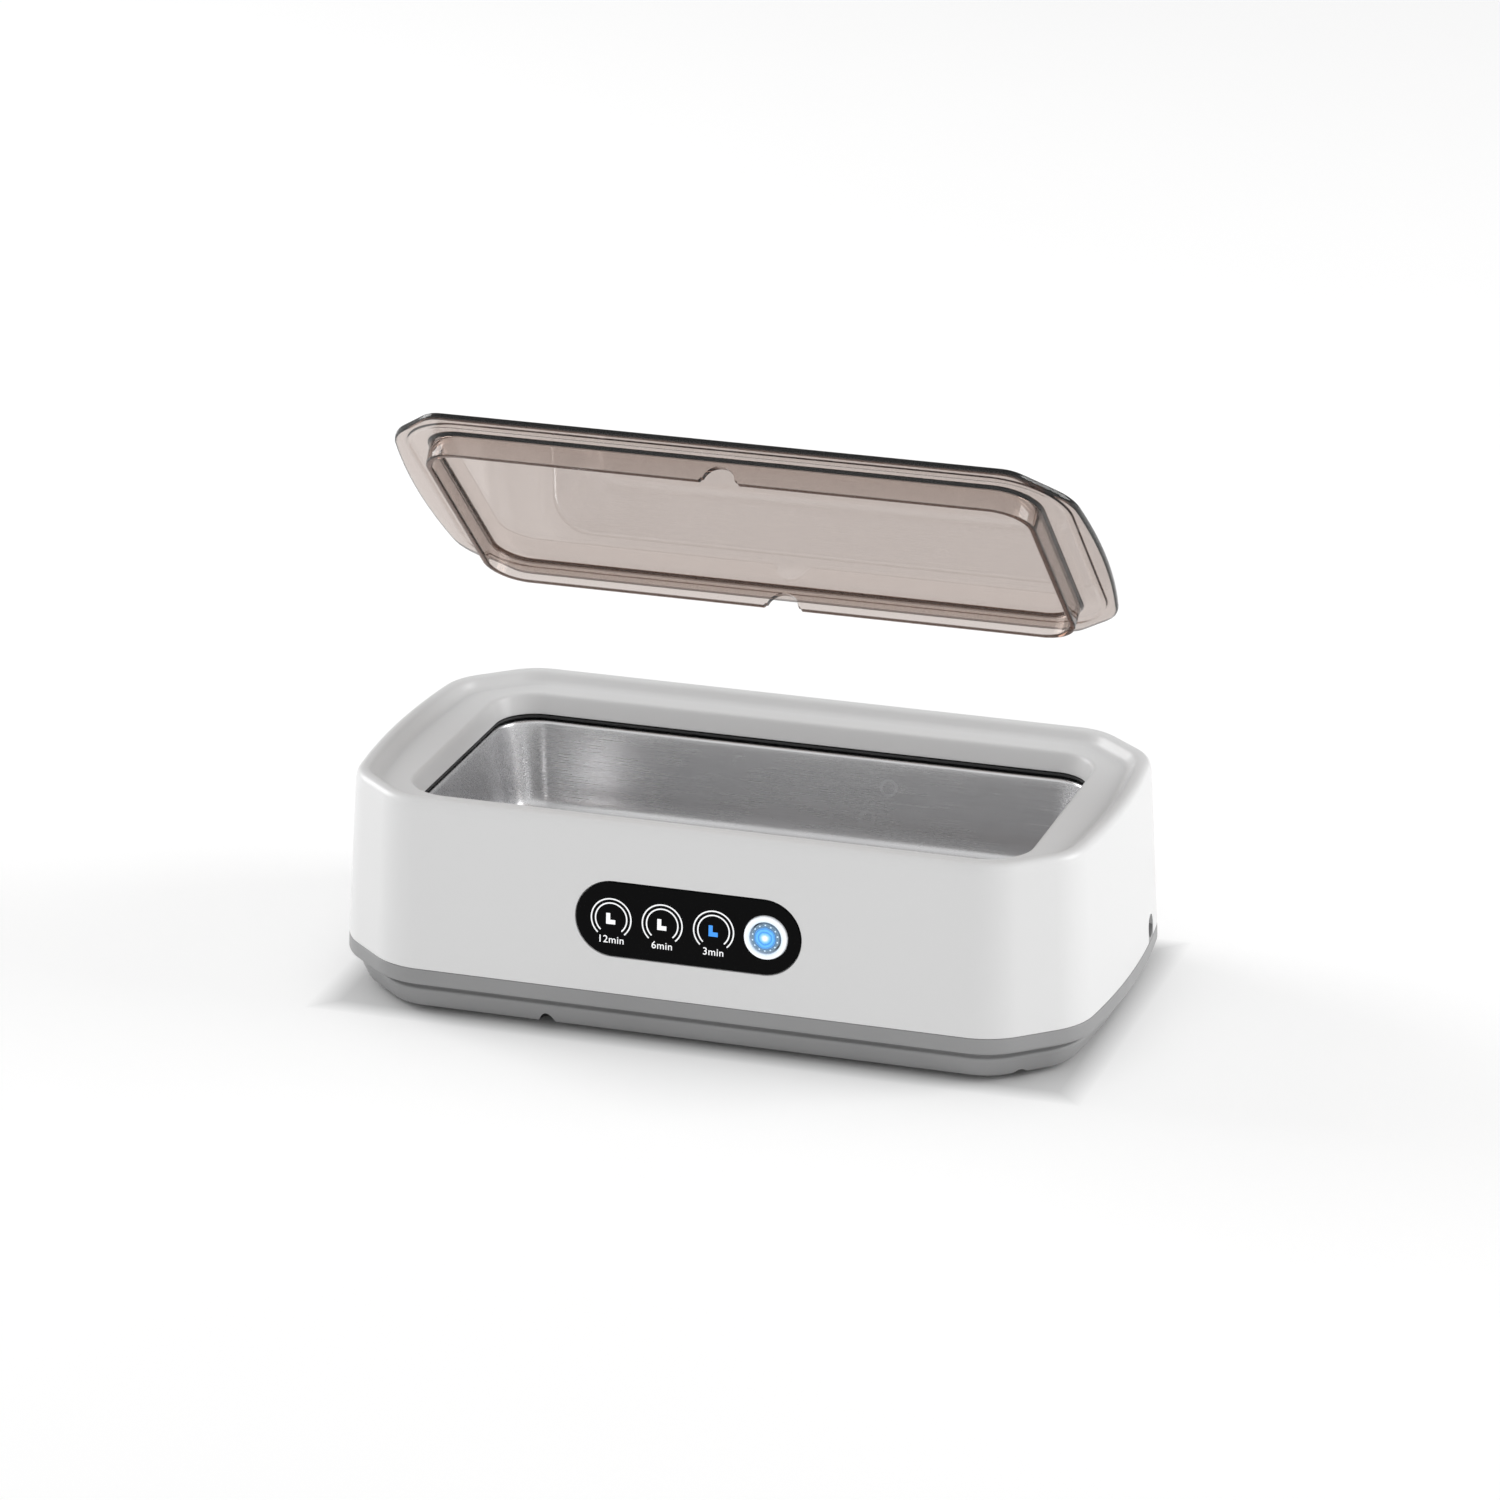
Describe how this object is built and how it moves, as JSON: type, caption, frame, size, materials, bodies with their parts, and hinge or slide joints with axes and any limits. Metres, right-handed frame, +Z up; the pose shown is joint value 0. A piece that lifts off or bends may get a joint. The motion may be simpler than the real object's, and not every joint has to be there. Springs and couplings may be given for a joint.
{
  "type": "ultrasonic cleaner",
  "caption": "Countertop ultrasonic cleaner: white octagonal shell on a grey base, steel tank, black touch panel with lit push button, lift-off smoked clear lid with a skirt.",
  "frame": {"origin": "middle of the footprint, on the table plane under the rubber feet", "axes": "+X to the right along the long side, +Y to the back, +Z up; the control panel faces -Y"},
  "size_m": [0.2104, 0.1154, 0.1602],
  "materials": {
    "white_shell": "satin moulded",
    "grey_base": "fine moulded grain",
    "stainless": "deep drawn, polished",
    "black_rubber": "moulded",
    "grey_nylon": "moulded",
    "epoxy": "cured",
    "silvered_ceramic": "fired silver on ceramic",
    "green_board": "solder mask",
    "white_board": "solder mask",
    "ferrite": "sintered",
    "blue_sleeve": "shrink sleeve",
    "yellow_film": "dipped",
    "bare_aluminium": "extruded",
    "black_resin": "moulded",
    "white_nylon": "moulded",
    "nickel": "nickel plated",
    "red_pvc": "wire jacket",
    "black_pvc": "wire jacket",
    "yellow_pvc": "wire jacket",
    "blue_pvc": "wire jacket",
    "grey_pvc": "ribbon jacket",
    "gloss_black": "polished",
    "button_white": "moulded",
    "button_blue": "backlit",
    "red_resin": "moulded",
    "smoked_clear": "smoked clear plastic, polished",
    "led_resin": "moulded",
    "zinc_steel": "zinc plated"
  },
  "bodies": {
    "housing": {"board_screw_1": "zinc_steel", "board_screw_2": "zinc_steel", "capacitor": "blue_sleeve", "clamp_frame": "grey_nylon", "clamp_screw_1": "zinc_steel", "clamp_screw_2": "zinc_steel", "clamp_screw_3": "zinc_steel", "clamp_screw_4": "zinc_steel", "clamp_screw_5": "zinc_steel", "clamp_screw_6": "zinc_steel", "control_board": "white_board", "control_connector": "white_nylon", "film_capacitor": "yellow_film", "foot_1": "black_rubber", "foot_2": "black_rubber", "foot_3": "black_rubber", "foot_4": "black_rubber", "heat_sink": "bare_aluminium", "housing_screw_1": "zinc_steel", "housing_screw_2": "zinc_steel", "housing_screw_3": "zinc_steel", "housing_screw_4": "zinc_steel", "housing_screw_5": "zinc_steel", "housing_screw_6": "zinc_steel", "inductor": "ferrite", "jack_connector": "white_nylon", "jack_leaf": "nickel", "jack_pin": "nickel", "led_1": "led_resin", "led_2": "led_resin", "led_3": "led_resin", "led_4": "led_resin", "light_frame": "white_nylon", "lower_housing": "grey_base", "main_board": "green_board", "panel_lens": "gloss_black", "piezo_disc": "silvered_ceramic", "power_jack": "black_resin", "power_transistor": "black_resin", "ribbon_cable": "grey_pvc", "tact_switch": "black_resin", "tank": "stainless", "tank_gasket": "black_rubber", "transducer_bond": "epoxy", "transducer_connector": "white_nylon", "transformer": "ferrite", "upper_shell": "white_shell", "wire_piezo_blue": "blue_pvc", "wire_piezo_yellow": "yellow_pvc", "wire_supply_black": "black_pvc", "wire_supply_red": "red_pvc"},
    "button": {"button_cap": "button_white", "button_lens": "button_blue", "switch_plunger": "red_resin"},
    "lid": {"lid": "smoked_clear"}
  },
  "joints": [
    {"name": "button_press", "type": "slide", "parent": "housing", "child": "button", "axis": [0, 0.9983, -0.0577], "range_m": [0, 0.0006], "stiffness_N_per_m": 1500, "springref_m": -0.0004},
    {"name": "lid_lift", "type": "hinge", "parent": "housing", "child": "lid", "pos_m": [0, 0.08658, 0.09158], "axis": [1, 0, 0], "range_deg": [0, 43.29]}
  ]
}
